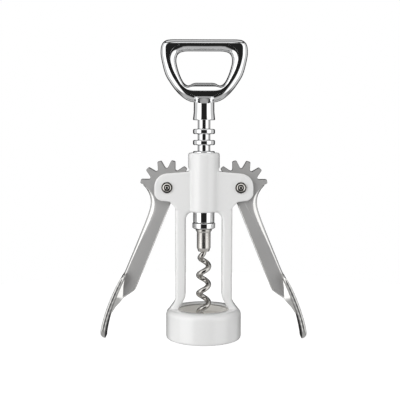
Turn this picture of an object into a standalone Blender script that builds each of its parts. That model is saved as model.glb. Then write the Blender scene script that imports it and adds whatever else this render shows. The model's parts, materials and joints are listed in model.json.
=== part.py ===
"""Winged lever corkscrew with a bottle-opener handle.

Units in the tables below are millimetres; the helpers turn them into metres.
+Z is up, the worm's axis is the Z axis, and the two levers swing in the XZ plane.
Heights are counted from just above the bell's rim; RIM_DROP below that level is
Z = 0, which the rim stands on.
"""
import math

import bmesh
import bpy
from mathutils import Matrix, Vector

MM = 0.001
GAP = 0.3                     # running clearance between neighbouring pieces

# ---- frame: bell, legs, ears and collar, one casting -------------------------
RIM_DROP = 1.6
BELL_R = 22.7
BELL_H = 16.8
BELL_BORE_R = 17.4
BELL_LIP_R = 15.3             # the rim above the liner
BELL_LIP_Z = 15.5
COLLAR_R = 9.5
COLLAR_BORE_R = 6.95
COLLAR_LOW = 75.3
COLLAR_TOP = 111.0
FRAME_HALF_Y = 5.4            # half the depth of the ears and legs
SLOT_HALF_Y = 2.8             # half the slot that each lever swings in
SLOT_R = 17.2                 # reach of that slot round the lever's pivot
LEG_IN = 11.0                 # inner and outer face of a leg
LEG_OUT = 17.1

# ---- bell liner ---------------------------------------------------------------
LINER_BORE_R = 15.6           # slides over a bottle's lip
SEAT_R = 14.4
SEAT_Z = 11.5                 # the ledge that stops on the bottle's rim

# ---- gear and rack ------------------------------------------------------------
PIVOT_X = 22.0
PIVOT_Z = 90.2
PITCH = 6.6                   # from ring to ring
TEETH_PER_TURN = 12
RING_R = 6.6
RING_H = 3.0
RING_TOP_Z = 123.57           # middle of the highest ring
RINGS = 7
CORE_R = 3.75
STEM_R = 6.4
STEM_LOW = 69.0
SPIGOT_TOP = 139.2
TIP_R = 16.3
ROOT_R = 11.3
TEETH = 7
PITCH_R = TEETH_PER_TURN * PITCH / (2 * math.pi)
GEAR_STEP = 2 * math.pi / TEETH_PER_TURN
MESH_RING = 4                 # the gap below this ring holds a tooth at rest

# ---- levers -------------------------------------------------------------------
LEVER_HALF_Y = 2.5
ARM_LEAN = math.radians(22.2)  # arm's angle from straight down, at rest
ARM_IN = 5.6                   # inner edge of the arm from its centre line
PAD_HALF_Y = 9.5
PIN_R = 2.0
PIN_HEAD_R = 3.4

# ---- stop ring, ferrule and worm ----------------------------------------------
SHANK_R = 3.65
SHANK_TOP = 75.5
FERRULE_R = 4.15
FERRULE_LOW = 51.3
WIRE_R = 1.6
WORM_R = 3.0                  # radius of the wire's centre line
WORM_PITCH = 11.2
WORM_RIGHT_Z = 42.3           # height where the first turn is farthest to +X
WORM_TIP_Z = 8.2

# ---- handle -------------------------------------------------------------------
HANDLE_HALF_Y = 4.2
WEB_HALF_Y = 1.8
NECK_R = 6.15
NECK_LIP_R = 6.6
NECK_LOW = 130.4
NECK_TOP = 144.4
CROSS_PIN_Z = 135.3

TURN_STEPS = 36


# ================================ helpers ======================================
def clear_scene():
    for obj in list(bpy.data.objects):
        bpy.data.objects.remove(obj, do_unlink=True)


def material(name, colour, roughness, metallic):
    mat = bpy.data.materials.new(name)
    mat.use_nodes = True
    shader = mat.node_tree.nodes["Principled BSDF"]
    shader.inputs["Base Color"].default_value = (*colour, 1.0)
    shader.inputs["Roughness"].default_value = roughness
    shader.inputs["Metallic"].default_value = metallic
    return mat


def finish_mesh(name, bm, mat, smooth_angle=40):
    """Closes a bmesh in millimetres into an object in metres."""
    bmesh.ops.remove_doubles(bm, verts=bm.verts, dist=1e-4)
    bmesh.ops.recalc_face_normals(bm, faces=bm.faces)
    bmesh.ops.scale(bm, vec=(MM, MM, MM), verts=bm.verts)
    mesh = bpy.data.meshes.new(name)
    bm.to_mesh(mesh)
    bm.free()
    mesh.materials.append(mat)
    mesh.shade_smooth()
    mesh.set_sharp_from_angle(angle=math.radians(smooth_angle))
    obj = bpy.data.objects.new(name, mesh)
    bpy.context.collection.objects.link(obj)
    return obj


def rounded(corners, step=math.radians(22)):
    """Closed outline from (x, z, radius) corners, each turned into an arc."""
    outline = []
    for i, (x, z, radius) in enumerate(corners):
        here = Vector((x, z))
        before = Vector(corners[i - 1][:2]) - here
        after = Vector(corners[(i + 1) % len(corners)][:2]) - here
        if radius <= 0:
            outline.append((x, z))
            continue
        half = before.angle(after) / 2
        reach = min(radius / math.tan(half), 0.49 * before.length, 0.49 * after.length)
        radius = reach * math.tan(half)
        centre = here + (before.normalized() + after.normalized()).normalized() * radius / math.sin(half)
        first = here + before.normalized() * reach - centre
        last = here + after.normalized() * reach - centre
        turn = first.angle_signed(last)
        count = max(1, round(abs(turn) / step))
        for k in range(count + 1):
            arm = Matrix.Rotation(-turn * k / count, 2) @ first
            outline.append(tuple(centre + arm))
    return outline


def smooth_line(points, per_span=3):
    """Open Catmull-Rom line through a few points."""
    pts = [Vector(p) for p in points]
    pts = [2 * pts[0] - pts[1]] + pts + [2 * pts[-1] - pts[-2]]
    line = []
    for a, b, c, d in zip(pts, pts[1:], pts[2:], pts[3:]):
        for k in range(per_span):
            t = k / per_span
            line.append(0.5 * (2 * b + (c - a) * t + (2 * a - 5 * b + 4 * c - d) * t * t
                               + (3 * b - 3 * c + d - a) * t ** 3))
    line.append(pts[-2])
    return [tuple(p) for p in line]


def mirrored(half):
    """Full outline from its +X half, which runs from top to bottom."""
    return half + [(-x, z) for x, z in reversed(half) if x > 1e-6]


def slab(outline, low, high, axis="Y"):
    """Outline extruded from low to high along an axis."""
    bm = bmesh.new()
    if axis == "Y":
        verts = [bm.verts.new((a, low, b)) for a, b in outline]
        move = (0, high - low, 0)
    else:
        verts = [bm.verts.new((low, a, b)) for a, b in outline]
        move = (high - low, 0, 0)
    face = bm.faces.new(verts)
    grown = bmesh.ops.extrude_face_region(bm, geom=[face])
    moved = [v for v in grown["geom"] if isinstance(v, bmesh.types.BMVert)]
    bmesh.ops.translate(bm, vec=move, verts=moved)
    return bm


def turned(profile, steps=TURN_STEPS, closed=False):
    """Profile of (radius, z) points spun once round the Z axis."""
    bm = bmesh.new()
    verts = [bm.verts.new((r, 0, z)) for r, z in profile]
    edges = [bm.edges.new(pair) for pair in zip(verts, verts[1:])]
    if closed:
        edges.append(bm.edges.new((verts[-1], verts[0])))
    bmesh.ops.spin(bm, geom=verts + edges, cent=(0, 0, 0), axis=(0, 0, 1),
                   angle=2 * math.pi, steps=steps, use_merge=True)
    bmesh.ops.remove_doubles(bm, verts=bm.verts, dist=1e-4)
    return bm


def rod(radius, low, high, axis, steps=24):
    """Plain cylinder along an axis, centred on the origin."""
    bm = turned([(0, low), (radius, low), (radius, high), (0, high)], steps)
    if axis == "Y":
        bmesh.ops.rotate(bm, verts=bm.verts, matrix=Matrix.Rotation(-math.pi / 2, 3, "X"))
    if axis == "X":
        bmesh.ops.rotate(bm, verts=bm.verts, matrix=Matrix.Rotation(math.pi / 2, 3, "Y"))
    return bm


def guide(name, bm, place=(0, 0, 0)):
    """Helper solid that only shapes another piece."""
    obj = finish_mesh(name, bm, MAT_GUIDE)
    obj.location = Vector(place) * MM
    obj.hide_render = True
    obj.display_type = "WIRE"
    return obj


def combine(obj, other, operation):
    mod = obj.modifiers.new(operation.lower() + "_" + other.name, "BOOLEAN")
    mod.object = other
    mod.operation = operation
    mod.solver = "EXACT"


def bevel(obj, width, segments=2):
    mod = obj.modifiers.new("round_edges", "BEVEL")
    mod.width = width * MM
    mod.segments = segments
    mod.limit_method = "ANGLE"
    mod.angle_limit = math.radians(50)
    mod.use_clamp_overlap = True


# ================================ pieces =======================================
def frame_plate_outline():
    """Ears, legs and the window between the legs, seen from the front."""
    half = [(0, 99.9, 0), (9.0, 99.8, 0), (29.6, 98.0, 8.0), (29.6, 82.6, 8.5),
            (20.4, 81.6, 1.0), (LEG_OUT, 78.3, 3.0), (LEG_OUT, 21.5, 5.0), (21.6, 15.2, 2.0),
            (21.6, 12.0, 0), (16.4, 12.0, 0), (15.9, 15.5, 0), (14.6, 17.3, 2.0), (LEG_IN, 23.8, 6.0),
            (LEG_IN, 75.7, 5.0), (0, 75.7, 0)]
    other = [(-x, z, r) for x, z, r in reversed(half[1:-1])]
    return rounded(half + other)


def make_frame():
    plate = finish_mesh("frame", slab(frame_plate_outline(), -FRAME_HALF_Y, FRAME_HALF_Y), MAT_ENAMEL)
    bevel(plate, 1.2)
    collar = [(0, COLLAR_LOW), (COLLAR_R - 1.0, COLLAR_LOW), (COLLAR_R - 0.3, COLLAR_LOW + 0.3),
              (COLLAR_R, COLLAR_LOW + 1.0), (COLLAR_R, COLLAR_TOP - 1.2),
              (COLLAR_R - 0.35, COLLAR_TOP - 0.35), (COLLAR_R - 1.2, COLLAR_TOP), (0, COLLAR_TOP)]
    combine(plate, guide("frame_collar", turned(collar)), "UNION")
    combine(plate, guide("frame_bore", rod(COLLAR_BORE_R, 70, 118, "Z", TURN_STEPS)), "DIFFERENCE")
    for side, sign in (("left", -1), ("right", 1)):
        pivot = (sign * PIVOT_X, 0, PIVOT_Z)
        slot = guide(f"frame_{side}_slot", rod(SLOT_R, -SLOT_HALF_Y, SLOT_HALF_Y, "Y", 48), pivot)
        hole = guide(f"frame_{side}_pin_hole", rod(PIN_R + GAP, -8, 8, "Y", 20), pivot)
        combine(plate, slot, "DIFFERENCE")
        combine(plate, hole, "DIFFERENCE")
    bell = [(0, -RIM_DROP), (BELL_R - 1.2, -RIM_DROP), (BELL_R - 0.3, 0.4 - RIM_DROP),
            (BELL_R, 1.2 - RIM_DROP), (BELL_R, 13.4), (BELL_R - 0.6, 15.3),
            (BELL_R - 1.8, 16.4), (BELL_R - 3.5, BELL_H), (0, BELL_H)]
    mouth = [(0, -4), (BELL_BORE_R, -4), (BELL_BORE_R, BELL_LIP_Z), (BELL_LIP_R, BELL_LIP_Z),
             (BELL_LIP_R, BELL_H - 0.7), (BELL_LIP_R + 0.9, BELL_H + 0.2), (0, BELL_H + 0.2)]
    combine(plate, guide("frame_bell", turned(bell, 48)), "UNION")
    combine(plate, guide("frame_bell_mouth", turned(mouth, 48)), "DIFFERENCE")


def make_bell_liner():
    outer = BELL_BORE_R - GAP
    profile = [(LINER_BORE_R + 0.5, 0.4), (outer - 0.3, 0.4), (outer, 0.7), (outer, BELL_LIP_Z - GAP),
               (SEAT_R + 0.3, BELL_LIP_Z - GAP), (SEAT_R, BELL_LIP_Z - 2 * GAP), (SEAT_R, SEAT_Z),
               (LINER_BORE_R, SEAT_Z), (LINER_BORE_R, 1.2)]
    finish_mesh("bell_liner", turned(profile, 48, closed=True), MAT_LINER)


def make_rack_stem():
    """One turned stem: spigot for the handle, seven rings, plain lower end."""
    corner = 0.8
    soft = 0.3 * corner
    profile = [(0, SPIGOT_TOP), (CORE_R - 0.3, SPIGOT_TOP), (CORE_R, SPIGOT_TOP - 0.3)]
    for k in range(RINGS):
        top = RING_TOP_Z - k * PITCH + RING_H / 2
        low = top - RING_H
        profile += [(CORE_R, top), (RING_R - corner, top), (RING_R - soft, top - soft),
                    (RING_R, top - corner), (RING_R, low + corner), (RING_R - soft, low + soft),
                    (RING_R - corner, low), (CORE_R, low)]
    top = RING_TOP_Z - RINGS * PITCH + RING_H / 2
    profile += [(CORE_R, top), (STEM_R - corner, top), (STEM_R - soft, top - soft), (STEM_R, top - corner),
                (STEM_R, STEM_LOW + 0.4), (STEM_R - 0.4, STEM_LOW), (SHANK_R + GAP, STEM_LOW),
                (SHANK_R + GAP, SHANK_TOP + GAP), (0, SHANK_TOP + GAP)]
    stem = finish_mesh("rack_stem", turned(profile, 28), MAT_CHROME)
    hole = guide("rack_stem_pin_hole", rod(1.3, -9, 9, "X", 16), (0, 0, CROSS_PIN_Z))
    combine(stem, hole, "DIFFERENCE")


def make_stop_ring():
    top = STEM_LOW - GAP
    profile = [(SHANK_R + GAP, 64.8), (5.2, 64.8), (6.85, 65.7), (6.85, top - 0.4), (6.45, top),
               (SHANK_R + GAP, top)]
    finish_mesh("stop_ring", turned(profile, closed=True), MAT_CHROME)


def make_ferrule():
    """Worm holder: its shank goes up into the stem, the wire into its foot."""
    bore = WIRE_R + GAP
    profile = [(0, SHANK_TOP), (SHANK_R, SHANK_TOP), (SHANK_R, 64.5), (4.8, 64.5), (4.8, 63.9),
               (FERRULE_R, 63.4), (FERRULE_R, FERRULE_LOW + 2.4), (2.8, FERRULE_LOW),
               (bore, FERRULE_LOW), (bore, 62.0), (0, 62.0)]
    finish_mesh("ferrule", turned(profile, 32), MAT_STEEL)


def worm_path():
    """Right-handed helix that leaves the axis under the ferrule; (x, y, z, wire scale)."""
    def smoothstep(value):
        value = min(max(value, 0.0), 1.0)
        return value * value * (3 - 2 * value)

    points = [(0, 0, 61.6, 1.0), (0, 0, 56.0, 1.0)]
    start, per_turn = 52.4, 20
    count = round((start - WORM_TIP_Z) / WORM_PITCH * per_turn)
    for k in range(count + 1):
        z = start + (WORM_TIP_Z - start) * k / count
        angle = 2 * math.pi * (z - WORM_RIGHT_Z) / WORM_PITCH
        radius = WORM_R * smoothstep((start - z) / 7.5)
        thin = 0.06 + 0.94 * min(max((z - WORM_TIP_Z) / 7.0, 0.0), 1.0) ** 0.7
        points.append((radius * math.cos(angle), radius * math.sin(angle), z, thin))
    return points


def make_worm():
    curve = bpy.data.curves.new("worm", "CURVE")
    curve.dimensions = "3D"
    curve.bevel_depth = WIRE_R * MM
    curve.bevel_resolution = 2
    curve.use_fill_caps = True
    path = worm_path()
    spline = curve.splines.new("POLY")
    spline.points.add(len(path) - 1)
    for point, (x, y, z, thin) in zip(spline.points, path):
        point.co = (x * MM, y * MM, z * MM, 1.0)
        point.radius = thin
    curve.materials.append(MAT_STEEL)
    worm = bpy.data.objects.new("worm", curve)
    bpy.context.collection.objects.link(worm)


def handle_outlines():
    """Outer edge, finger opening and sunk panel of the handle, as closed outlines."""
    outer = [(0, 178.0), (12, 178.0)] + smooth_line(
        [(20.0, 178.0), (24.1, 176.5), (25.9, 172.0), (25.6, 167.0), (23.3, 157.8), (20.1, 152.1),
         (16.4, 147.2), (12.4, 143.5), (9.2, 141.6)]) + [(6.1, 141.2), (6.1, 144.8), (0, 144.8)]
    opening = [(0, 170.9), (11.5, 170.9)] + smooth_line(
        [(13.6, 170.7), (15.9, 169.4), (16.7, 166.7), (16.2, 162.6), (14.6, 157.3), (12.4, 153.2)]) + [
        (11.0, 151.5), (9.7, 150.9), (8.5, 151.3), (7.0, 152.2), (5.6, 152.5), (0, 152.5)]
    panel = [(0, 147.6), (6.2, 147.7)] + smooth_line(
        [(8.6, 148.0), (13.8, 151.5), (18.3, 159.8), (20.3, 168.0), (19.5, 171.5)]) + [
        (15.6, 175.4), (21.4, 175.4)] + smooth_line(
        [(22.9, 174.0), (22.65, 167.3), (18.6, 155.8), (12.8, 148.2), (9.75, 146.1)]) + [
        (6.6, 145.0), (6.6, 143.9), (0, 143.9)]
    return mirrored(outer), mirrored(opening), mirrored(panel)


def make_handle():
    outer, opening, panel = handle_outlines()
    handle = finish_mesh("handle", slab(outer, -HANDLE_HALF_Y, HANDLE_HALF_Y), MAT_CHROME)
    combine(handle, guide("handle_opening", slab(opening, -8, 8)), "DIFFERENCE")
    combine(handle, guide("handle_front_panel", slab(panel, -8, -WEB_HALF_Y)), "DIFFERENCE")
    combine(handle, guide("handle_rear_panel", slab(panel, WEB_HALF_Y, 8)), "DIFFERENCE")
    neck = [(0, NECK_LOW), (NECK_LIP_R - 0.3, NECK_LOW), (NECK_LIP_R, NECK_LOW + 0.3),
            (NECK_LIP_R, NECK_LOW + 0.9), (NECK_R, NECK_LOW + 2.4), (NECK_R, 146.0), (0, 146.0)]
    chisel = [(-8, 129), (8, 129), (8, 140.3), (6.4, 140.3), (WEB_HALF_Y - 0.1, NECK_TOP),
              (WEB_HALF_Y - 0.1, 145.6), (0.1 - WEB_HALF_Y, 145.6), (0.1 - WEB_HALF_Y, NECK_TOP),
              (-6.4, 140.3), (-8, 140.3)]
    neck_body = guide("handle_neck", turned(neck, 32))
    combine(neck_body, guide("handle_neck_facets", slab(chisel, -9, 9, "X")), "INTERSECT")
    combine(handle, neck_body, "UNION")
    combine(handle, guide("handle_socket", rod(CORE_R + GAP, 125, SPIGOT_TOP + GAP, "Z", 32)), "DIFFERENCE")
    combine(handle, guide("handle_pin_hole", rod(1.3, -9, 9, "X", 16), (0, 0, CROSS_PIN_Z)), "DIFFERENCE")


def make_handle_pin():
    pin = finish_mesh("handle_pin", rod(1.0, -6.0, 6.0, "X", 16), MAT_STEEL)
    pin.location = (0, 0, CROSS_PIN_Z * MM)


def gear_corners():
    """Seven teeth, counter-clockwise in the lever's own frame (+X outward)."""
    gap_z = RING_TOP_Z - (MESH_RING + 0.5) * PITCH
    first_tooth = (gap_z - PIVOT_Z) / PITCH_R          # rack-side tooth, up from -X
    corners = []
    for k in reversed(range(-1, TEETH - 1)):
        angle = math.pi - (first_tooth + k * GEAR_STEP) - ARM_LEAN
        along = Vector((math.cos(angle), math.sin(angle)))
        across = Vector((-along.y, along.x))
        for reach, side, radius in ((ROOT_R, -2.15, 0.9), (TIP_R, -1.0, 0.7), (TIP_R, 1.0, 0.7),
                                    (ROOT_R, 2.15, 0.9)):
            corners.append((*(reach * along + side * across), radius))
    return corners


def lever_outline():
    """Gear sector, arm and web in the lever's own frame: pivot at 0, arm down -Z."""
    inner = [(-10.2, -3.0, 1.5), (-ARM_IN, -7.0, 2.0), (-ARM_IN, -65.0, 4.0), (-0.4, -73.0, 5.0),
             (1.6, -79.0, 4.0), (2.6, -84.0, 0)]
    outer = [(4.6, -84.0, 0), (5.2, -66.0, 0), (4.4, -57.0, 8.0), (4.3, -16.0, 10.0), (6.0, -8.6, 4.0),
             (12.6, -5.2, 5.0)]
    return rounded(gear_corners() + inner + outer)


def pad_outline():
    """Thumb rest from the side: a curved blade, thickest at its root."""
    outside = smooth_line([(4.3, -57.5), (5.5, -62.0), (6.2, -68.5), (6.4, -76.0), (6.3, -83.5),
                           (5.5, -91.5), (3.4, -97.4)])
    inside = smooth_line([(-0.5, -98.0), (1.2, -91.5), (2.3, -84.0), (2.6, -77.0), (2.3, -69.0), (1.2, -58.0)])
    return outside + [(1.6, -98.5), (0.2, -98.7)] + inside


def make_lever(side, sign):
    """The left lever is the right one turned half round the worm's axis."""
    lever = finish_mesh(f"{side}_lever", slab(lever_outline(), -LEVER_HALF_Y, LEVER_HALF_Y), MAT_NICKEL)
    pad = guide(f"{side}_lever_pad", slab(pad_outline(), -PAD_HALF_Y, PAD_HALF_Y))
    plan = rounded([(-PAD_HALF_Y, -56.0, 5.0), (PAD_HALF_Y, -56.0, 5.0), (PAD_HALF_Y, -100.0, 5.5),
                    (-PAD_HALF_Y, -100.0, 5.5)])
    pad_plan = guide(f"{side}_lever_pad_plan", slab(plan, -5, 12, "X"))
    combine(pad, pad_plan, "INTERSECT")
    combine(lever, pad, "UNION")
    bore = guide(f"{side}_lever_bore", rod(PIN_R + GAP, -8, 8, "Y", 20))
    combine(lever, bore, "DIFFERENCE")
    pivot = bpy.data.objects.new(f"{side}_pivot", None)
    bpy.context.collection.objects.link(pivot)
    pivot.location = Vector((sign * PIVOT_X, 0, PIVOT_Z)) * MM
    pivot.rotation_euler = (0, -ARM_LEAN, 0 if sign > 0 else math.pi)
    for piece in (lever, pad, pad_plan, bore):
        piece.parent = pivot


def make_pivot_hardware(side, sign):
    """Socket-head pivot screw from the front and its cap nut behind."""
    place = Vector((sign * PIVOT_X, 0, PIVOT_Z)) * MM
    seat = FRAME_HALF_Y + GAP
    head = [(0, 6.9), (PIN_R, 6.9), (PIN_R, -seat), (PIN_HEAD_R, -seat), (PIN_HEAD_R, -seat - 0.7),
            (PIN_HEAD_R - 0.5, -seat - 1.25), (2.2, -seat - 1.6), (1.5, -seat - 1.6), (1.5, -seat - 0.3),
            (0, -seat - 0.3)]
    nut = [(0, 8.0), (2.0, 8.0), (2.9, 7.6), (PIN_HEAD_R, 6.9), (PIN_HEAD_R, seat), (PIN_R + GAP, seat),
           (PIN_R + GAP, 7.2), (0, 7.2)]
    for name, profile in ((f"{side}_pivot_screw", head), (f"{side}_pivot_nut", nut)):
        bm = turned(profile, 28)
        bmesh.ops.rotate(bm, verts=bm.verts, matrix=Matrix.Rotation(-math.pi / 2, 3, "X"))
        piece = finish_mesh(name, bm, MAT_STEEL)
        piece.location = place


clear_scene()
MAT_GUIDE = material("guide", (0.5, 0.5, 0.5), 0.5, 0.0)
MAT_ENAMEL = material("white_enamel", (0.86, 0.86, 0.85), 0.18, 0.0)
MAT_CHROME = material("chrome", (0.78, 0.79, 0.8), 0.06, 1.0)
MAT_NICKEL = material("satin_nickel", (0.62, 0.61, 0.6), 0.32, 1.0)
MAT_STEEL = material("polished_steel", (0.66, 0.64, 0.6), 0.14, 1.0)
MAT_LINER = material("liner_plastic", (0.44, 0.43, 0.41), 0.45, 0.0)

make_frame()
make_bell_liner()
make_rack_stem()
make_stop_ring()
make_ferrule()
make_worm()
make_handle()
make_handle_pin()
for lever_side, lever_sign in (("left", -1), ("right", 1)):
    make_lever(lever_side, lever_sign)
    make_pivot_hardware(lever_side, lever_sign)
for piece in bpy.data.objects:
    if piece.parent is None:
        piece.location.z += RIM_DROP * MM
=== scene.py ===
import json
import math

import bpy
import numpy as np
from mathutils import Matrix, Vector


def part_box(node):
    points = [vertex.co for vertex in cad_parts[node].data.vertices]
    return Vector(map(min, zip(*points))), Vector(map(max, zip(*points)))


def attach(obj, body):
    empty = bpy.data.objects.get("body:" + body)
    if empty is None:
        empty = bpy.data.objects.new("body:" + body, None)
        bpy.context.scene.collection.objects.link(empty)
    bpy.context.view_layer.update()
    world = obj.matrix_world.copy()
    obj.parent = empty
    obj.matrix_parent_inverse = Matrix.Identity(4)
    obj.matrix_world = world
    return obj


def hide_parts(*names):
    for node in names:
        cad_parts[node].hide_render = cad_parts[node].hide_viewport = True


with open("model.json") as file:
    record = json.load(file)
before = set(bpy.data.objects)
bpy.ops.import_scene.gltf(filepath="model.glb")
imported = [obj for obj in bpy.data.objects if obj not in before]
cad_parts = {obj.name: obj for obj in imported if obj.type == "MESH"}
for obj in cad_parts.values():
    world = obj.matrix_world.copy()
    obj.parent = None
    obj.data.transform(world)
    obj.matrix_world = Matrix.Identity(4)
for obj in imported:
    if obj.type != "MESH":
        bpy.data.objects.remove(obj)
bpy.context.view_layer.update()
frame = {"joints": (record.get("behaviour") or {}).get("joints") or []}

bpy.ops.object.select_all(action="DESELECT")

# ---------------------------------------------------------------------------
# Frame. One die casting in gloss white lacquer: bell, two legs, the ears that
# hold the levers and the collar that guides the stem. The slots, pin holes and
# bore are cast in, and the lacquer softens every edge.
MM = 0.001
# Heights are in millimetres above the level of the bell's pocket; the rim the
# tool stands on is rim_drop lower, and every finished piece is lifted by that.
rim_drop = 1.6


def span(node):
    """Lowest and highest corner of a CAD piece, in the heights used here."""
    return [Vector(corner) / MM - Vector((0, 0, rim_drop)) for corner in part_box(node)]


hinge = next(joint for joint in frame["joints"] if joint["name"] == "right_lever_hinge")
pivot = Vector(hinge["pos_m"]) / MM
pivot.z -= rim_drop
frame_top = span("frame")[1].z
bell_r = span("frame")[1].y
bell_h = 16.8
bell_bore = 17.4
bell_lip_r, bell_lip_z = 15.3, 15.5
collar_r, collar_bore, collar_low = 9.5, 6.95, 75.3
ear_half, leg_half, slot_half, slot_reach = 5.4, 5.3, 2.8, 17.2
leg_in, leg_out = 10.9, 17.1
leg_foot, arch_foot = 21.6, 12.0
pin_hole_r = 2.3
casting_voxel, casting_passes = 0.45, 4


def rounded(corners, step=math.radians(11)):
    """Closed outline from (x, z, radius) corners, each corner turned to its radius."""
    outline = []
    for i, (x, z, radius) in enumerate(corners):
        here = Vector((x, z))
        before = Vector(corners[i - 1][:2]) - here
        after = Vector(corners[(i + 1) % len(corners)][:2]) - here
        if radius <= 0:
            outline.append((x, z))
            continue
        half = before.angle(after) / 2
        reach = min(radius / math.tan(half), 0.49 * before.length, 0.49 * after.length)
        radius = reach * math.tan(half)
        middle = (before.normalized() + after.normalized()).normalized()
        centre = here + middle * radius / math.sin(half)
        first = here + before.normalized() * reach - centre
        last = here + after.normalized() * reach - centre
        turn = first.angle_signed(last)
        count = max(2, round(abs(turn) / step))
        for k in range(count + 1):
            outline.append(tuple(centre + Matrix.Rotation(-turn * k / count, 2) @ first))
    return outline


def draw_line(name, points, closed):
    """A line of edges drawn point by point in the XZ plane, left open for editing."""
    bpy.ops.object.select_all(action="DESELECT")
    bpy.ops.mesh.primitive_plane_add(size=MM)
    piece = bpy.context.object
    piece.name = name
    bpy.ops.object.mode_set(mode="EDIT")
    bpy.ops.mesh.merge(type="CENTER")
    places = [Vector((x, 0, z)) * MM for x, z in points]
    bpy.ops.transform.translate(value=places[0])
    for here, there in zip(places, places[1:]):
        bpy.ops.mesh.extrude_region_move(TRANSFORM_OT_translate={"value": there - here})
    bpy.ops.mesh.select_all(action="SELECT")
    if closed:
        bpy.ops.mesh.edge_face_add()
    return piece


def cut_plate(name, outline, low, high):
    """A plate of that outline, from low to high along Y."""
    piece = draw_line(name, outline, closed=True)
    bpy.ops.transform.translate(value=(0, low * MM, 0))
    bpy.ops.mesh.extrude_region_move(TRANSFORM_OT_translate={"value": (0, (high - low) * MM, 0)})
    bpy.ops.mesh.select_all(action="SELECT")
    bpy.ops.mesh.normals_make_consistent(inside=False)
    bpy.ops.object.mode_set(mode="OBJECT")
    return piece


def turn_profile(name, profile, steps=96, closed=False):
    """A turned piece: the (radius, z) profile spun once round the Z axis."""
    points = list(profile)
    if closed:
        points.append(points[0])
    piece = draw_line(name, points, closed=False)
    bpy.ops.mesh.spin(steps=steps, angle=2 * math.pi, center=(0, 0, 0), axis=(0, 0, 1))
    bpy.ops.mesh.select_all(action="SELECT")
    bpy.ops.mesh.remove_doubles(threshold=1e-6)
    bpy.ops.mesh.normals_make_consistent(inside=False)
    bpy.ops.object.mode_set(mode="OBJECT")
    return piece


def rod(name, radius, low, high, steps=96):
    """A plain round bar about the Z axis, for drilling and slotting."""
    return turn_profile(name, [(0, low), (radius, low), (radius, high), (0, high)], steps)


def move_mesh(piece, turn=None, shift=(0, 0, 0)):
    """Turns and shifts a finished mesh and leaves its object at the origin."""
    if turn:
        piece.data.transform(turn)
    piece.data.transform(Matrix.Translation(Vector(shift) * MM))
    return piece


def use_modifier(piece, kind, **settings):
    """Adds one modifier and applies it at once."""
    bpy.ops.object.select_all(action="DESELECT")
    bpy.context.view_layer.objects.active = piece
    piece.select_set(True)
    mod = piece.modifiers.new(kind.lower(), kind)
    for key, value in settings.items():
        setattr(mod, key, value)
    bpy.ops.object.modifier_apply(modifier=mod.name)


def join_or_cut(piece, other, operation):
    """Joins another solid to a piece or cuts it away, and removes the other."""
    use_modifier(piece, "BOOLEAN", object=other, operation=operation, solver="MANIFOLD")
    bpy.data.objects.remove(other, do_unlink=True)


def bevel_corners(piece, width, segments):
    """Rounds the corners of a plate that are sharper than 50 degrees."""
    use_modifier(piece, "BEVEL", width=width * MM, segments=segments,
                 limit_method="ANGLE", angle_limit=math.radians(50))


def soften(piece, voxel, passes):
    """Casts the joined solids into one skin and rounds its edges."""
    use_modifier(piece, "REMESH", mode="VOXEL", voxel_size=voxel * MM, use_smooth_shade=True)
    use_modifier(piece, "SMOOTH", factor=0.5, iterations=passes)


def shade(piece, angle=40):
    """Smooth shading with creases where faces meet more sharply than that many degrees."""
    bpy.ops.object.select_all(action="DESELECT")
    bpy.context.view_layer.objects.active = piece
    piece.select_set(True)
    bpy.ops.object.shade_smooth_by_angle(angle=math.radians(angle))


def surface(name, colour, metallic, roughness, spread, grain, depth,
            coat=0.0, stretch=(1, 1, 1), tint=0.04):
    """A finish with its own grain: fine bumps, uneven gloss and a slight change of colour.

    spread is how far the gloss wanders, grain the scale of the bumps and depth their height in mm.
    """
    mat = bpy.data.materials.new(name)
    mat.use_nodes = True
    nodes, links = mat.node_tree.nodes, mat.node_tree.links
    shader = nodes["Principled BSDF"]
    shader.inputs["Metallic"].default_value = metallic
    shader.inputs["Coat Weight"].default_value = coat
    shader.inputs["Coat Roughness"].default_value = 0.04
    place = nodes.new("ShaderNodeTexCoord")
    mapping = nodes.new("ShaderNodeMapping")
    mapping.inputs["Scale"].default_value = stretch
    links.new(place.outputs["Object"], mapping.inputs["Vector"])
    fine = nodes.new("ShaderNodeTexNoise")
    fine.inputs["Scale"].default_value = grain
    fine.inputs["Detail"].default_value = 4.0
    links.new(mapping.outputs["Vector"], fine.inputs["Vector"])
    broad = nodes.new("ShaderNodeTexNoise")
    broad.inputs["Scale"].default_value = 90.0
    broad.inputs["Detail"].default_value = 3.0
    links.new(place.outputs["Object"], broad.inputs["Vector"])
    gloss = nodes.new("ShaderNodeMapRange")
    gloss.inputs["From Min"].default_value = 0.3
    gloss.inputs["From Max"].default_value = 0.7
    gloss.inputs["To Min"].default_value = roughness - spread
    gloss.inputs["To Max"].default_value = roughness + spread
    links.new(broad.outputs["Fac"], gloss.inputs["Value"])
    links.new(gloss.outputs["Result"], shader.inputs["Roughness"])
    shades = nodes.new("ShaderNodeMix")
    shades.data_type = "RGBA"
    shades.inputs["A"].default_value = (*[c * (1 - tint) for c in colour], 1)
    shades.inputs["B"].default_value = (*[min(1.0, c * (1 + tint)) for c in colour], 1)
    links.new(fine.outputs["Fac"], shades.inputs["Factor"])
    links.new(shades.outputs["Result"], shader.inputs["Base Color"])
    bump = nodes.new("ShaderNodeBump")
    bump.inputs["Strength"].default_value = 1.0
    bump.inputs["Distance"].default_value = depth * MM
    links.new(fine.outputs["Fac"], bump.inputs["Height"])
    links.new(bump.outputs["Normal"], shader.inputs["Normal"])
    return mat


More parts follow.
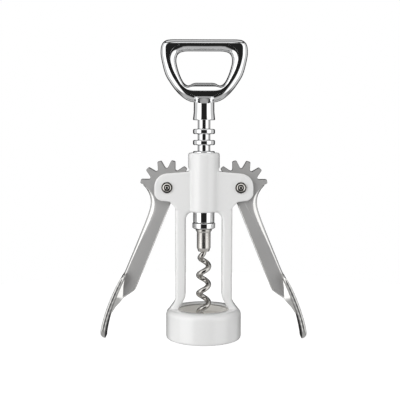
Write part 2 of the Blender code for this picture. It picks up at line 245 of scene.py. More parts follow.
def dress(piece, materials, body, node):
    """Lifts a finished piece, gives it its materials and its body, and hides the CAD node it stands for."""
    move_mesh(piece, None, (0, 0, rim_drop))
    last = len(materials) - 1
    finishes = [min(face.material_index, last) for face in piece.data.polygons]
    piece.data.materials.clear()
    for material in materials:
        piece.data.materials.append(material)
    piece.data.polygons.foreach_set("material_index", finishes)
    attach(piece, body)
    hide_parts(node)


def both_sides(half):
    """The right half of an outline, followed by its mirror image."""
    return half + [(-x, z, r) for x, z, r in reversed(half) if x > 0]


ears = both_sides([(9.0, 99.8, 0), (29.6, 98.0, 8.0), (29.6, 82.6, 8.5), (20.4, 81.6, 1.5),
                   (leg_out, 78.3, 3.0), (leg_out, 77.0, 0), (leg_in, 77.0, 0), (leg_in, 75.7, 0)])
legs = both_sides([(leg_out, 80.0, 0), (leg_out, 21.5, 6.0), (leg_foot, 15.2, 2.0), (leg_foot, arch_foot, 0),
                   (16.4, arch_foot, 0), (15.9, 15.5, 0), (14.6, 17.3, 3.0),
                   (leg_in, 23.8, 6.0), (leg_in, 75.7, 5.0)])
casting = cut_plate("frame_casting", rounded(ears), -ear_half, ear_half)
bevel_corners(casting, 0.9, 3)
leg_plate = cut_plate("legs", rounded(legs), -leg_half, leg_half)
bevel_corners(leg_plate, 1.9, 4)
join_or_cut(casting, leg_plate, "UNION")
collar = [(0, collar_low), (collar_r - 1.0, collar_low), (collar_r - 0.3, collar_low + 0.3),
          (collar_r, collar_low + 1.0), (collar_r, frame_top - 1.2), (collar_r - 0.35, frame_top - 0.35),
          (collar_r - 1.2, frame_top), (0, frame_top)]
join_or_cut(casting, turn_profile("collar", collar), "UNION")
join_or_cut(casting, rod("bore", collar_bore, 70, 118), "DIFFERENCE")
for side in (-1, 1):
    for reach, half in ((slot_reach, slot_half), (pin_hole_r, 8)):
        cutter = rod("slot", reach, -half, half)
        move_mesh(cutter, Matrix.Rotation(math.pi / 2, 4, "X"), (side * pivot.x, 0, pivot.z))
        join_or_cut(casting, cutter, "DIFFERENCE")
bell = [(0, -rim_drop), (bell_r - 1.3, -rim_drop), (bell_r - 0.4, 0.4 - rim_drop), (bell_r, 1.3 - rim_drop),
        (bell_r, 13.4), (bell_r - 0.4, 15.0), (bell_r - 1.6, 16.3), (bell_r - 3.4, bell_h), (0, bell_h)]
mouth = [(0, -4), (bell_bore, -4), (bell_bore, bell_lip_z), (bell_lip_r, bell_lip_z),
         (bell_lip_r, bell_h - 0.6), (bell_lip_r + 0.9, bell_h + 0.2), (0, bell_h + 0.2)]
join_or_cut(casting, turn_profile("bell", bell), "UNION")
join_or_cut(casting, turn_profile("mouth", mouth), "DIFFERENCE")
soften(casting, casting_voxel, casting_passes)
shade(casting, 180)
lacquer = surface("white_lacquer", (0.88, 0.88, 0.875), 0.0, 0.2, 0.05, 700.0, 0.003, coat=0.5, tint=0.012)
dress(casting, [lacquer], "frame", "frame")

# ---------------------------------------------------------------------------
# Liner. A warm white plastic ring pressed into the bell from below; its ledge
# stops on the bottle's rim and its bore centres the neck.
liner_low, liner_high = (corner.z for corner in span("bell_liner"))
liner_out = span("bell_liner")[1].x
seat_r, seat_z, neck_bore = 14.4, 11.5, 15.6
liner_profile = [(neck_bore + 0.5, liner_low), (liner_out - 0.4, liner_low), (liner_out, liner_low + 0.4),
                 (liner_out, liner_high), (seat_r + 0.5, liner_high), (seat_r + 0.15, liner_high - 0.15),
                 (seat_r, liner_high - 0.5), (seat_r, seat_z + 0.3), (seat_r + 0.3, seat_z),
                 (neck_bore - 0.2, seat_z), (neck_bore, seat_z - 0.2), (neck_bore, liner_low + 0.8)]
liner = turn_profile("bell_lining", liner_profile, 128, closed=True)
shade(liner)
liner_white = surface("liner_plastic", (0.88, 0.86, 0.82), 0.0, 0.42, 0.06, 1400.0, 0.01, tint=0.05)
dress(liner, [liner_white], "frame", "bell_liner")

# ---------------------------------------------------------------------------
# Stem. A turned and chromed bar whose rings are the rack: the lever teeth work
# in the grooves at any turn of the handle. Its lower end is plain.
stem_low, stem_top = (corner.z for corner in span("rack_stem"))
ring_r, ring_h, pitch, core_r = 6.6, 3.0, 6.6, 3.75
top_ring_z, rings = 123.57, 7
stem_r, socket_r, socket_top = 6.4, 3.95, 75.8
ring_edge, groove_edge, foot_edge = 0.75, 0.25, 0.4


def edge_arc(centre_r, centre_z, radius, first, last, count=5):
    """Points round a turned edge, from the first to the last angle in degrees."""
    turns = [math.radians(first + (last - first) * k / count) for k in range(count + 1)]
    return [(centre_r + radius * math.cos(a), centre_z + radius * math.sin(a)) for a in turns]


stem_profile = [(0, stem_top), (core_r - 0.3, stem_top), (core_r, stem_top - 0.3)]
for k in range(rings):
    top = top_ring_z - k * pitch + ring_h / 2
    low = top - ring_h
    stem_profile += [(core_r, top + groove_edge), (core_r + groove_edge, top)]
    stem_profile += edge_arc(ring_r - ring_edge, top - ring_edge, ring_edge, 90, 0)
    stem_profile += edge_arc(ring_r - ring_edge, low + ring_edge, ring_edge, 0, -90)
    stem_profile += [(core_r + groove_edge, low), (core_r, low - groove_edge)]
plain_top = top_ring_z - rings * pitch + ring_h / 2
stem_profile += [(core_r, plain_top)]
stem_profile += edge_arc(stem_r - ring_edge, plain_top - ring_edge, ring_edge, 90, 0)
stem_profile += edge_arc(stem_r - foot_edge, stem_low + foot_edge, foot_edge, 0, -90, 3)
stem_profile += [(socket_r, stem_low), (socket_r, socket_top), (0, socket_top)]
stem = turn_profile("stem_with_rings", stem_profile)
shade(stem, 35)
chrome = surface("chrome_plate", (0.83, 0.835, 0.84), 1.0, 0.05, 0.02, 2600.0, 0.0006, tint=0.01)
dress(stem, [chrome], "spindle", "rack_stem")

# ---------------------------------------------------------------------------
# Stop ring. A loose chromed flange between the stem and the ferrule; it carries
# the pull of the rack and has a coned underside.
ring_low, ring_top = (corner.z for corner in span("stop_ring"))
flange_r = span("stop_ring")[1].x
flange = [(socket_r, ring_low), (5.2, ring_low)]
flange += edge_arc(flange_r - 0.4, ring_low + 1.15, 0.4, -60, 0, 3)
flange += edge_arc(flange_r - 0.35, ring_top - 0.35, 0.35, 0, 90, 4)
flange += [(socket_r, ring_top)]
stop_ring = turn_profile("stop_flange", flange, closed=True)
shade(stop_ring)
dress(stop_ring, [chrome], "stop_ring", "stop_ring")

# ---------------------------------------------------------------------------
# Ferrule. A plain plated steel sleeve: its shank goes up into the stem, and the
# worm's wire is held in its foot.
ferrule_low, ferrule_top = (corner.z for corner in span("ferrule"))
ferrule_r, shank_r, shoulder_r, shoulder_top = 4.15, 3.65, 4.8, 64.5
wire_r, wire_seat = 1.6, 62.0
sleeve = [(0, ferrule_top), (shank_r, ferrule_top), (shank_r, shoulder_top)]
sleeve += [(shoulder_r, shoulder_top), (shoulder_r, 63.9), (ferrule_r + 0.2, 63.4), (ferrule_r, 63.0)]
sleeve += edge_arc(ferrule_r - 0.8, ferrule_low + 2.4, 0.8, 0, -40, 4)
sleeve += edge_arc(3.1, ferrule_low + 0.3, 0.3, -40, -90, 2)
sleeve += [(wire_r + 0.1, ferrule_low), (wire_r + 0.1, wire_seat), (0, wire_seat)]
ferrule = turn_profile("worm_ferrule", sleeve)
shade(ferrule, 35)
bright_steel = surface("bright_steel", (0.66, 0.64, 0.61), 1.0, 0.24, 0.04, 1800.0, 0.001, tint=0.02)
dress(ferrule, [bright_steel], "spindle", "ferrule")

# ---------------------------------------------------------------------------
# Worm. Round plated wire coiled right-handed, drawn to a point at its tip; it
# leaves the ferrule on the axis and opens out to its full radius.
worm_low = span("worm")[0].z
worm_r, worm_pitch, first_right_z = 3.0, 11.2, 42.3
coil_start, open_out, axis_run = 52.4, 7.5, 0.3
wire_top, wire_middle = 61.8, 57.0
tip_length, tip_share, tip_bow, tip_cut = 7.0, 0.1, 0.6, 0.25
per_turn = 48


def skin(name, rows, closed_ends=False):
    """A grid laid over rows of points: each row is one section of the piece."""
    across, along = len(rows[0]), len(rows)
    bpy.ops.object.select_all(action="DESELECT")
    bpy.ops.mesh.primitive_grid_add(x_subdivisions=across, y_subdivisions=along - 1 + closed_ends, size=1)
    piece = bpy.context.object
    piece.name = name
    places = []
    for j in range(along + closed_ends):
        row = rows[j % along]
        places += [row[i % across] for i in range(across + 1)]
    piece.data.vertices.foreach_set("co", np.array(places, float).ravel() * MM)
    piece.data.update()
    bpy.ops.object.mode_set(mode="EDIT")
    bpy.ops.mesh.select_all(action="SELECT")
    bpy.ops.mesh.remove_doubles(threshold=1e-6)
    if not closed_ends:
        bpy.ops.mesh.select_all(action="DESELECT")
        bpy.ops.mesh.select_mode(type="EDGE")
        bpy.ops.mesh.select_non_manifold()
        bpy.ops.mesh.edge_face_add()
        bpy.ops.mesh.select_mode(type="VERT")
    bpy.ops.mesh.select_all(action="SELECT")
    bpy.ops.mesh.normals_make_consistent(inside=False)
    bpy.ops.object.mode_set(mode="OBJECT")
    return piece


def smooth(value):
    """Eases a value from 0 to 1."""
    value = min(max(value, 0.0), 1.0)
    return value * value * (3 - 2 * value)


def worm_centre(z):
    """Middle of the wire at that height: on the axis above, then out on the coil."""
    angle = 2 * math.pi * (z - first_right_z) / worm_pitch
    radius = worm_r * smooth((coil_start - z) / open_out)
    return Vector((radius * math.cos(angle), radius * math.sin(angle), z))


worm_rows = []
worm_steps = round((coil_start - worm_low) / worm_pitch * per_turn)
coil_rise = worm_low + tip_cut - coil_start
worm_levels = [wire_top, wire_middle]
worm_levels += [coil_start + coil_rise * k / worm_steps for k in range(worm_steps + 1)]
for z in worm_levels:
    along_wire = (worm_centre(z - 0.01) - worm_centre(z + 0.01)).normalized()
    outward = Vector((1, 0, 0))
    if z <= coil_start - axis_run:
        outward = (worm_centre(z) * Vector((1, 1, 0))).normalized()
    across = along_wire.cross(outward).normalized()
    outward = across.cross(along_wire)
    up_the_tip = min(1.0, max(0.0, (z - worm_low) / tip_length))
    wire = wire_r * (tip_share + (1 - tip_share) * up_the_tip ** tip_bow)
    worm_rows.append([worm_centre(z) + wire * (math.cos(a) * outward + math.sin(a) * across)
                      for a in np.linspace(0, 2 * math.pi, 24, endpoint=False)])
worm = skin("worm_wire", worm_rows)
shade(worm, 60)
worm_steel = surface("worm_steel", (0.52, 0.505, 0.48), 1.0, 0.07, 0.02, 1800.0, 0.001, tint=0.02)
dress(worm, [worm_steel], "spindle", "worm")

# ---------------------------------------------------------------------------
# Handle. A chromed die casting: a D-ring of two raised beads with a sunk panel
# between them, a cap-lifting lip in its opening, and a round neck on the stem.
neck_low, handle_top = (corner.z for corner in span("handle"))
bead_half, panel_half = 4.2, 1.8
neck_r, neck_lip_r, facet_low, facet_top, facet_depth = 6.15, 6.6, 140.1, 144.3, 2.7
wall_top, wall_foot = 0.12, 0.25
ring_centre = Vector((0, 162.0))
ring_stations = 288
pin_r = 1.0


def curve_through(points, per_span=8):
    """Smooth line through a few points (Catmull-Rom)."""
    pts = [Vector(p) for p in points]
    pts = [2 * pts[0] - pts[1]] + pts + [2 * pts[-1] - pts[-2]]
    line = []
    for a, b, c, d in zip(pts, pts[1:], pts[2:], pts[3:]):
        for k in range(per_span):
            t = k / per_span
            line.append(0.5 * (2 * b + (c - a) * t + (2 * a - 5 * b + 4 * c - d) * t * t
                               + (3 * b - 3 * c + d - a) * t ** 3))
    return line + [pts[-2]]


def reach_of(half):
    """How far a D-shaped line is from the ring's centre, as a function of the angle from the top."""
    arms = []
    for here, there in zip(half, half[1:]):
        arms += [here.lerp(there, k / 24) - ring_centre for k in range(24)]
    arms.append(half[-1] - ring_centre)
    angles = [math.atan2(arm.x, arm.y) for arm in arms]
    reaches = [arm.length for arm in arms]
    return lambda turn: float(np.interp(abs(turn), angles, reaches))


outer_line = reach_of([Vector((0, handle_top)), Vector((18.0, handle_top))] + curve_through(
    [(19.6, handle_top - 0.02), (22.6, 177.5), (24.9, 175.6), (25.9, 172.0), (25.6, 167.0), (23.3, 157.8),
     (20.1, 152.1), (16.4, 147.2), (12.4, 143.5), (9.2, 141.7), (6.4, 141.0), (0, 140.9)]))
panel_out = reach_of([Vector((0, 175.5)), Vector((16.0, 175.5))] + curve_through(
    [(19.0, 175.5), (21.5, 175.3), (22.8, 173.9), (22.95, 171.5), (22.65, 167.3), (21.2, 161.5),
     (18.6, 155.8), (15.4, 151.2), (12.4, 147.9), (9.6, 146.1), (6.6, 144.9)])
    + [Vector((5.9, facet_top)), Vector((0, facet_top))])
panel_in = reach_of([Vector((0, 174.6)), Vector((11.5, 174.8))] + curve_through(
    [(14.5, 174.6), (16.8, 173.4), (19.2, 171.2), (20.25, 168.0), (19.8, 164.6), (18.3, 159.8),
     (16.0, 155.2), (13.8, 151.5), (10.9, 148.9), (8.4, 147.8), (5.8, 147.6), (0, 147.55)]))
opening = reach_of([Vector((0, 171.0)), Vector((9.5, 171.0))] + curve_through(
    [(11.5, 170.9), (14.2, 170.2), (15.9, 168.6), (16.55, 165.9), (16.2, 162.8), (14.8, 158.0),
     (12.8, 153.6), (11.2, 151.7), (9.8, 151.0), (8.4, 151.2), (6.9, 152.0), (5.2, 152.45),
     (3.0, 152.5), (0, 152.5)]))
crest_tilt = math.radians(13)


def bead(crest, rim):
    """Front of a bead: a quarter round from its rim, at mid depth, up to the crest beside the panel."""
    across = (rim - crest) / (1 - math.sin(crest_tilt))
    deep = bead_half / math.cos(crest_tilt)
    middle = crest - across * math.sin(crest_tilt)
    turns = np.linspace(math.pi / 2, crest_tilt, 12)
    return [(middle + across * math.sin(t), -deep * math.cos(t)) for t in turns]


def ring_section(turn):
    """One cut through the ring: outer bead, sunk panel, inner bead, then the same behind."""
    ray = Vector((math.sin(turn), math.cos(turn)))
    rim, out, into, hole = (line(turn) for line in (outer_line, panel_out, panel_in, opening))
    front = bead(out, rim) + [(out - wall_top, wall_foot - bead_half), (out - wall_foot, -panel_half)]
    # Above the neck the outer bead gives way to the neck's own facet.
    if abs((ray * rim).x) < neck_r and ray.y < 0:
        front = [(reach, max(y, -panel_half)) for reach, y in front]
    front += [(0.5 * (out + into), -panel_half), (into + wall_foot, -panel_half)]
    front += [(into + wall_top, wall_foot - bead_half)] + bead(into, hole)[::-1]
    section = front + [(reach, -y) for reach, y in front[1:-1][::-1]]
    return [Vector((ray.x * reach, y, ring_centre.y + ray.y * reach)) for reach, y in section]


ring_turns = [2 * math.pi * (k + 0.5) / ring_stations - math.pi for k in range(ring_stations)]
ring = skin("handle_casting", [ring_section(turn) for turn in ring_turns], closed_ends=True)
neck_levels = [(neck_low, neck_lip_r - 0.25), (neck_low + 0.12, neck_lip_r - 0.07)]
neck_levels += [(neck_low + 0.3, neck_lip_r), (neck_low + 0.8, neck_lip_r), (neck_low + 2.0, neck_r + 0.3)]
neck_levels += [(neck_low + 4.0, neck_r + 0.12), (neck_low + 7.0, neck_r)]
neck_levels += [(facet_low + (facet_top - facet_low) * k / 12, neck_r) for k in range(13)]
neck_rows = []
for z, radius in neck_levels:
    up_the_facet = min(max((z - facet_low) / (facet_top - facet_low), 0), 1)
    facet = neck_r + (facet_depth - neck_r) * up_the_facet
    neck_rows.append([Vector((radius * math.cos(a), radius * math.sin(a) * facet / neck_r, z))
                      for a in np.linspace(0, 2 * math.pi, 128, endpoint=False)])
neck = skin("neck", neck_rows)
join_or_cut(ring, neck, "UNION")
join_or_cut(ring, rod("socket", core_r + 0.15, 125, stem_top + 0.2), "DIFFERENCE")
cross_z = 0.5 * sum(corner.z for corner in span("handle_pin"))
pin_hole = rod("pin_hole", pin_r + 0.05, -9, 9, 32)
move_mesh(pin_hole, Matrix.Rotation(math.pi / 2, 4, "Y"), (0, 0, cross_z))
join_or_cut(ring, pin_hole, "DIFFERENCE")
shade(ring, 32)
dress(ring, [chrome], "spindle", "handle")

# ---------------------------------------------------------------------------
# Cross pin. A short steel pin pressed through the neck and the stem's spigot,
# flush with the neck and slightly domed at its ends.
pin_profile = [(0, -neck_r - 0.05), (0.6, -neck_r + 0.02), (pin_r, -neck_r + 0.2)]
pin_profile += [(pin_r, neck_r - 0.2), (0.6, neck_r - 0.02), (0, neck_r + 0.05)]
cross_pin = turn_profile("handle_cross_pin", pin_profile, 32)
move_mesh(cross_pin, Matrix.Rotation(math.pi / 2, 4, "Y"), (0, 0, cross_z))
shade(cross_pin)
dress(cross_pin, [bright_steel], "spindle", "handle_pin")

# ---------------------------------------------------------------------------
# Levers. Die castings in satin nickel: a seven-tooth sector that works the rack,
# a flat arm with a polished round along its back, and a cupped, ribbed thumb rest.
# A lever is drawn hanging straight down from its pivot, which is the origin here,
# and is leant out and moved to its place at the end.
lever_half = 2.5
lean = math.radians(22.2)
teeth, teeth_per_turn, mid_groove = 7, 12, 4.5
gear_step = 2 * math.pi / teeth_per_turn
gear_r = teeth_per_turn * pitch / (2 * math.pi)
first_tooth = (top_ring_z - mid_groove * pitch - pivot.z) / gear_r
# One tooth: (reach from the pivot, half width, radius of the corner).
tooth = [(11.3, -2.35, 1.0), (16.3, -1.2, 0.75), (16.3, 1.2, 0.75), (11.3, 2.35, 1.0)]
arm_in, arm_top = 5.6, -9.0
edge_round = 0.9

sector = []
for k in reversed(range(-1, teeth - 1)):
    angle = math.pi - (first_tooth + k * gear_step) - lean
    along = Vector((math.cos(angle), math.sin(angle)))
    across = Vector((-along.y, along.x))
    for reach, half, radius in tooth:
        sector.append((*(reach * along + half * across), radius))
# The back of the arm is a polished half round: (x, z, radius) along its edge.
back = [(13.8, -4.4, 0.5), (11.4, -5.6, 0.9), (8.6, -7.8, 1.8), (6.5, -10.6, 3.2), (5.2, -14.0, 4.4),
        (4.6, -18.0, 4.8), (4.35, -24.0, 3.8), (4.3, -35.0, 2.3), (4.35, -48.0, 1.6), (4.45, -57.0, 1.4),
        (5.2, -63.0, 1.3)]
back_near = 1.2
back_edge = curve_through([(x, z) for x, z, radius in back], 6)
back_rounds = [p.y for p in curve_through([(i, corner[2]) for i, corner in enumerate(back)], 6)]
back_rows, back_middle = [], []
for k, (spot, radius) in enumerate(zip(back_edge, back_rounds)):
    run = (back_edge[min(k + 1, len(back_edge) - 1)] - back_edge[max(k - 1, 0)]).normalized()
    inward = Vector((run.y, -run.x))
    middle = spot + inward * radius
    back_middle.append((middle.x, middle.y, 0))
    back_rows.append([Vector((middle.x + inward.x * radius * math.cos(a), lever_half * math.sin(a),
                              middle.y + inward.y * radius * math.cos(a)))
                      for a in np.linspace(0, 2 * math.pi, 80, endpoint=False)])
arm = [(-10.2, -3.0, 1.5), (-arm_in, -7.0, 2.0), (-arm_in, -65.0, 4.0), (-0.4, -73.0, 5.0),
       (1.6, -79.0, 5.0), (2.9, -85.0, 0), (4.0, -85.0, 0)] + back_middle[::-1]
lever = cut_plate("right_lever_casting", rounded(sector + arm), -lever_half, lever_half)
weights = lever.data.attributes.new("bevel_weight_edge", "FLOAT", "EDGE")
for edge in lever.data.edges:
    ends = [lever.data.vertices[i].co / MM for i in edge.vertices]
    middle = (ends[0] + ends[1]) / 2
    on_back = min((middle.xz - Vector(p[:2])).length for p in back_middle) < back_near
    if abs(ends[0].y - ends[1].y) < 0.1 and not on_back:
        weights.data[edge.index].value = 1.0 if middle.z < arm_top else 0.5
use_modifier(lever, "BEVEL", width=edge_round * MM, segments=6,
             limit_method="WEIGHT", use_clamp_overlap=False)
join_or_cut(lever, skin("arm_back", back_rows), "UNION")

# The thumb rest is a thin blade between an outer and an inner line, both given as (x, z).
blade_out = curve_through([(4.1, -57.5), (5.4, -62.0), (6.1, -68.5), (6.3, -76.0), (6.0, -83.5),
                           (5.2, -91.0), (4.0, -96.0), (2.4, -98.4)], 12)
blade_in = curve_through([(3.0, -57.6), (3.2, -63.0), (3.3, -69.5), (3.3, -77.0), (3.0, -84.5),
                          (2.1, -91.5), (1.0, -96.4), (0.1, -98.6)], 12)
blade_half, blade_edge, blade_dish = 9.5, 1.7, 0.5
root_depth, tip_depth, blade_taper = 57.5, 98.5, 5.0


def taper(share):
    """How much narrower the blade is near an end, from the share of the taper already passed."""
    return blade_taper * (1 - math.sqrt(1 - (1 - share) ** 2))


def blade_row(outer, inner):
    """One cut across the blade: a flat plate with rounded long edges and a narrower root and tip."""
    depth = -0.5 * (outer.y + inner.y)
    into_root = min(1.0, max(0.0, (depth - root_depth) / blade_taper))
    into_tip = min(1.0, max(0.0, (tip_depth - depth) / blade_taper))
    half = blade_half - taper(into_root) - taper(into_tip)
    middle, thick = (outer + inner) / 2, (outer - inner).length / 2
    along_thick = (outer - inner).normalized()
    edge = min(blade_edge, 0.94 * thick)
    dish = blade_dish * min(into_root, into_tip)
    row = []
    for side, level, first in ((1, 1, 0), (1, -1, 90), (-1, -1, 180), (-1, 1, 270)):
        for k in range(6):
            turn = math.radians(first + 18 * k)
            row.append((side * (half - edge) + edge * math.sin(turn),
                        level * (thick - edge) + edge * math.cos(turn)))
        if (side, level) == (1, -1):
            row += [(half * t, -thick) for t in (0.6, 0.3, 0.0, -0.3, -0.6)]
    row += [(half * t, thick) for t in (-0.6, -0.3, 0.0, 0.3, 0.6)]
    points = []
    for wide, high in row:
        spot = middle + along_thick * (high - dish * (1 - (wide / half) ** 2))
        points.append(Vector((spot.x, wide, spot.y)))
    return points


blade = skin("blade", [blade_row(outer, inner) for outer, inner in zip(blade_out, blade_in)])
join_or_cut(lever, blade, "UNION")
# Polished fillets lead from the flat web out to the wide blade: (z, how far in they reach).
gusset = [(-61.0, 0.3), (-66.0, 1.7), (-70.0, 3.2), (-73.0, 4.0), (-76.0, 3.0), (-79.0, 1.8), (-84.0, 0.7)]
gusset_sunk, gusset_slope = 0.8, 0.55
gusset_foot = lever_half - 0.1
gusset_rows = []


def on_line(line, z):
    """X of the point of a blade's line that is nearest to that height."""
    return min(line, key=lambda p: abs(p.y - z)).x


for z, reach in gusset:
    start = on_line(blade_in, z)
    rise = gusset_foot + gusset_slope * (reach + gusset_sunk)
    gusset_rows.append([Vector((start + gusset_sunk, -rise, z)), Vector((start - reach, -gusset_foot, z)),
                        Vector((start - reach, gusset_foot, z)), Vector((start + gusset_sunk, rise, z))])
join_or_cut(lever, skin("gusset", gusset_rows), "UNION")
pin_bore = rod("pin_bore", pin_hole_r, -8, 8, 48)
join_or_cut(lever, move_mesh(pin_bore, Matrix.Rotation(math.pi / 2, 4, "X")), "DIFFERENCE")
shade(lever, 25)
use_modifier(lever, "WEIGHTED_NORMAL", keep_sharp=True, weight=100)
satin_nickel = surface("satin_nickel", (0.50, 0.495, 0.49), 0.35, 0.42, 0.04, 2400.0, 0.004,
                       stretch=(1.0, 1.0, 0.35), tint=0.05)
bright_nickel = surface("bright_nickel", (0.74, 0.735, 0.72), 1.0, 0.2, 0.03, 2000.0, 0.001, tint=0.02)
# The thumb rest carries fine cast ribs over its back and edges.
ribbed_nickel = surface("ribbed_nickel", (0.62, 0.615, 0.60), 1.0, 0.3, 0.03, 2000.0, 0.001, tint=0.03)
nodes, links = ribbed_nickel.node_tree.nodes, ribbed_nickel.node_tree.links
ribs = nodes.new("ShaderNodeTexWave")
ribs.bands_direction = "Z"
ribs.inputs["Scale"].default_value = 210.0
rib_turn = nodes.new("ShaderNodeMapping")
rib_turn.inputs["Rotation"].default_value = (math.radians(62), 0, 0)
links.new(nodes["Texture Coordinate"].outputs["Object"], rib_turn.inputs["Vector"])
links.new(rib_turn.outputs["Vector"], ribs.inputs["Vector"])
rib_bump = nodes.new("ShaderNodeBump")
rib_bump.inputs["Strength"].default_value = 1.0
rib_bump.inputs["Distance"].default_value = 0.08 * MM
links.new(ribs.outputs["Fac"], rib_bump.inputs["Height"])
links.new(nodes["Bump"].outputs["Normal"], rib_bump.inputs["Normal"])
links.new(rib_bump.outputs["Normal"], nodes["Principled BSDF"].inputs["Normal"])
# Painted shade: this dark nickel is no finish of the lever; it darkens the edges of the teeth to stand in
# for the shade along them.
painted_shade_nickel = surface("painted_shade_nickel", (0.20, 0.197, 0.193), 1.0, 0.3, 0.04, 2000.0, 0.002, tint=0.04)
# The flats keep the satin finish, the thumb rest's back and edges have the ribs, the arm's
# edges and fillets are bright, and the edges of the teeth take a dark nickel as painted shade.
finishes = [satin_nickel, bright_nickel, ribbed_nickel, painted_shade_nickel]
satin, bright, ribbed, painted_tooth_shade = range(4)
rest_top, rest_side, rest_wrap = -62.0, 5.5, 2.5
blade_low, blade_high = -98.0, -58.0
heel_x, heel_z, flat_share = 5, -4.6, 0.965
for face in lever.data.polygons:
    x, y, z = face.center / MM
    blade_z = min(max(z, blade_low), blade_high)
    blade_x = 0.5 * (on_line(blade_out, blade_z) + on_line(blade_in, blade_z))
    if z < rest_top and (x > blade_x or (abs(y) > rest_side and x > blade_x - rest_wrap)):
        face.material_index = ribbed
    elif abs(face.normal.y) > flat_share and abs(y) < lever_half + 0.1:
        face.material_index = satin
    elif z < arm_top or (x > heel_x and z < heel_z):
        face.material_index = bright
    # Painted shade: the remaining edges of the teeth get the dark nickel.
    else:
        face.material_index = painted_tooth_shade
left_lever = lever.copy()
left_lever.data = lever.data.copy()
left_lever.name = "left_lever_casting"
bpy.context.collection.objects.link(left_lever)
lean_out = Matrix.Rotation(-lean, 4, "Y")
half_turn = Matrix.Rotation(math.pi, 4, "Z")
move_mesh(lever, lean_out, (pivot.x, 0, pivot.z))
move_mesh(left_lever, half_turn @ lean_out, (-pivot.x, 0, pivot.z))
for piece, side in ((lever, "right"), (left_lever, "left")):
    dress(piece, finishes, f"{side}_lever", f"{side}_lever")

# ---------------------------------------------------------------------------
# Pivots. A domed socket-head screw from the front and a cap nut behind, both in
# polished plated steel; the screw's shank is the lever's shaft.
head_r, shaft_r, socket_half = 3.4, 2.0, 0.75
seat = ear_half + 0.05
shank_end, cup_top = 6.9, 7.2
screw_profile = [(0, shank_end), (shaft_r, shank_end), (shaft_r, -seat), (head_r - 0.1, -seat)]
screw_profile += [(head_r, -seat - 0.15), (head_r, -seat - 0.55), (head_r - 0.2, -seat - 0.8)]
screw_profile += [(2.5, -seat - 0.84), (2.35, -seat - 0.92), (1.8, -seat - 1.22), (1.65, -seat - 1.22)]
screw_profile += [(1.4, -seat - 0.95), (1.2, -seat - 0.95)]
screw_profile += edge_arc(0, -seat + 0.45, 1.85, -40, -88, 6) + [(0, -seat - 1.4)]
socket_corner = socket_half / math.cos(math.radians(30))
socket_turns = [math.radians(60 * k) for k in range(6)]
socket_cut = [(socket_corner * math.cos(turn), socket_corner * math.sin(turn)) for turn in socket_turns]
nut_profile = [(0, 8.0)] + edge_arc(0, 6.2, 1.8, 80, 62, 3) + [(2.9, 7.5)]
nut_profile += edge_arc(head_r - 0.3, 6.9, 0.3, 60, 0, 3)
nut_profile += [(head_r, seat), (shaft_r + 0.3, seat), (shaft_r + 0.3, cup_top), (0, cup_top)]
for side, sign in (("left", -1), ("right", 1)):
    screw = turn_profile(f"{side}_pivot_screw_body", screw_profile, 64)
    move_mesh(screw, Matrix.Rotation(-math.pi / 2, 4, "X"))
    hexagon = cut_plate("hexagon", socket_cut, -seat - 3, -seat - 0.4)
    join_or_cut(screw, hexagon, "DIFFERENCE")
    nut = turn_profile(f"{side}_pivot_nut_body", nut_profile, 64)
    move_mesh(nut, Matrix.Rotation(-math.pi / 2, 4, "X"))
    for piece, node in ((screw, "screw"), (nut, "nut")):
        move_mesh(piece, None, (sign * pivot.x, 0, pivot.z))
        shade(piece, 30)
        dress(piece, [worm_steel], "frame", f"{side}_pivot_{node}")

# ---------------------------------------------------------------------------
# Set. A pale round floor, tall softboxes left and right of the camera with a dark
# gap between them, softer lamps above, beside, behind and under the tool, and the
# camera. Lengths are in metres here.
floor_r, floor_drop, floor_glow = 0.24, 0.0002, 0.75
bpy.ops.mesh.primitive_circle_add(vertices=64, radius=floor_r, fill_type="NGON",
                                  location=(0, 0, -floor_drop))
floor = bpy.context.object
floor.name = "floor"
floor_paint = bpy.data.materials.new("floor_paint")
floor_paint.use_nodes = True
floor_shader = floor_paint.node_tree.nodes["Principled BSDF"]
floor_shader.inputs["Base Color"].default_value = (0.6, 0.6, 0.6, 1)
floor_shader.inputs["Roughness"].default_value = 0.9
floor_shader.inputs["Emission Color"].default_value = (1, 1, 1, 1)
floor_shader.inputs["Emission Strength"].default_value = floor_glow
floor.data.materials.append(floor_paint)
# Only the camera sees the floor: it throws no light and no reflection on the tool, and blocks no lamp.
floor.visible_diffuse = floor.visible_glossy = floor.visible_shadow = False

soft_edge = 0.22


def softbox(name, place, aim, width, height, power):
    """A rectangular lamp behind cloth that glows less towards its edges."""
    bpy.ops.object.light_add(type="AREA", location=place)
    lamp = bpy.context.object
    lamp.name = name
    lamp.data.shape = "RECTANGLE"
    lamp.data.size = width
    lamp.data.size_y = height
    lamp.data.energy = power
    lamp.rotation_euler = (Vector(aim) - Vector(place)).to_track_quat("-Z", "Y").to_euler()
    lamp.visible_camera = False
    lamp.data.use_nodes = True
    nodes, links = lamp.data.node_tree.nodes, lamp.data.node_tree.links
    spot = nodes.new("ShaderNodeNewGeometry")
    split = nodes.new("ShaderNodeSeparateXYZ")
    links.new(spot.outputs["Parametric"], split.inputs["Vector"])
    fades = []
    for axis in ("X", "Y"):
        off = nodes.new("ShaderNodeMath")
        off.operation = "SUBTRACT"
        off.inputs[1].default_value = 0.5
        links.new(split.outputs[axis], off.inputs[0])
        size = nodes.new("ShaderNodeMath")
        size.operation = "ABSOLUTE"
        links.new(off.outputs["Value"], size.inputs[0])
        fade = nodes.new("ShaderNodeMapRange")
        fade.interpolation_type = "SMOOTHSTEP"
        fade.inputs["From Min"].default_value = 0.5
        fade.inputs["From Max"].default_value = 0.5 - soft_edge
        links.new(size.outputs["Value"], fade.inputs["Value"])
        fades.append(fade)
    both = nodes.new("ShaderNodeMath")
    both.operation = "MULTIPLY"
    links.new(fades[0].outputs["Result"], both.inputs[0])
    links.new(fades[1].outputs["Result"], both.inputs[1])
    links.new(both.outputs["Value"], nodes["Emission"].inputs["Strength"])
    return lamp


target = Vector((0, 0, 0.09))
lamp_away = 0.80


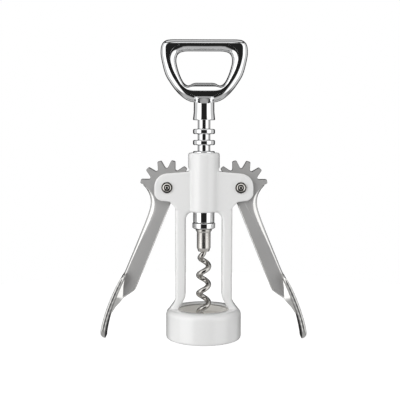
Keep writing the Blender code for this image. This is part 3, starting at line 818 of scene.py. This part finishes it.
def power_for(glow, width, height):
    """Power of a softbox of that size which glows that brightly in a reflection."""
    return glow * math.pi * width * height


def softbox_at(name, azimuth, height, width, tall, glow):
    """A softbox that faces the tool, at that azimuth off the camera's side and height above the target."""
    turn = math.radians(azimuth)
    place = target + Vector((lamp_away * math.sin(turn), -lamp_away * math.cos(turn), height))
    softbox(name, place, target, width, tall, power_for(glow, width, tall))


softbox_at("left_softbox", -55, 0.10, 0.88, 1.90, 1.6)
softbox_at("right_softbox", 55, 0.10, 0.88, 1.90, 1.35)
softbox_at("left_fill", -102, 0.10, 0.8, 1.8, 0.7)
softbox_at("right_fill", 102, 0.10, 0.8, 1.8, 0.65)
softbox_at("high_softbox", 0, 0.80, 1.3, 0.85, 1.2)
softbox("top_softbox", (0, 0.15, 1.1), target, 1.2, 0.8, power_for(0.75, 1.2, 0.8))
softbox("under_fill", (0, 0, -0.45), (0, 0, 0.1), 1.6, 1.6, power_for(0.5, 1.6, 1.6))
# These two light the lacquer and leave no reflection in the metal.
front_fill = softbox("front_fill", (-0.40, -0.54, 0.16), target, 0.5, 0.5, 1.9)
front_fill.visible_glossy = False
back_fill = softbox("back_fill", (0.2, 0.7, 0.3), target, 0.5, 0.5, 1.6)
back_fill.visible_glossy = False

# The backdrop is white to the camera; the room itself is nearly dark.
room_glow = 0.018
world = bpy.data.worlds.new("studio")
world.use_nodes = True
nodes, links = world.node_tree.nodes, world.node_tree.links
background = nodes["Background"]
backdrop = nodes.new("ShaderNodeBackground")
backdrop.inputs["Color"].default_value = (1, 1, 1, 1)
backdrop.inputs["Strength"].default_value = 1.0
background.inputs["Color"].default_value = (1, 1, 1, 1)
background.inputs["Strength"].default_value = room_glow
ray = nodes.new("ShaderNodeLightPath")
choose = nodes.new("ShaderNodeMixShader")
links.new(ray.outputs["Is Camera Ray"], choose.inputs["Fac"])
links.new(background.outputs["Background"], choose.inputs[1])
links.new(backdrop.outputs["Background"], choose.inputs[2])
links.new(choose.outputs["Shader"], nodes["World Output"].inputs["Surface"])
bpy.context.scene.world = world
bpy.context.scene.view_settings.view_transform = "Standard"

camera_back, camera_high, camera_left = 0.478, 0.1204, 0.0023
lens_mm, sensor_mm, tilt, roll = 71.6, 36.0, 4.35, 0.14
bpy.ops.object.camera_add(location=(-camera_left, -camera_back, camera_high),
                          rotation=(math.radians(90 - tilt), 0, 0))
camera = bpy.context.object
camera.data.lens = lens_mm
camera.data.sensor_width = sensor_mm
camera.data.clip_start = 0.01
camera.rotation_euler.rotate_axis("Z", math.radians(roll))
bpy.context.scene.camera = camera
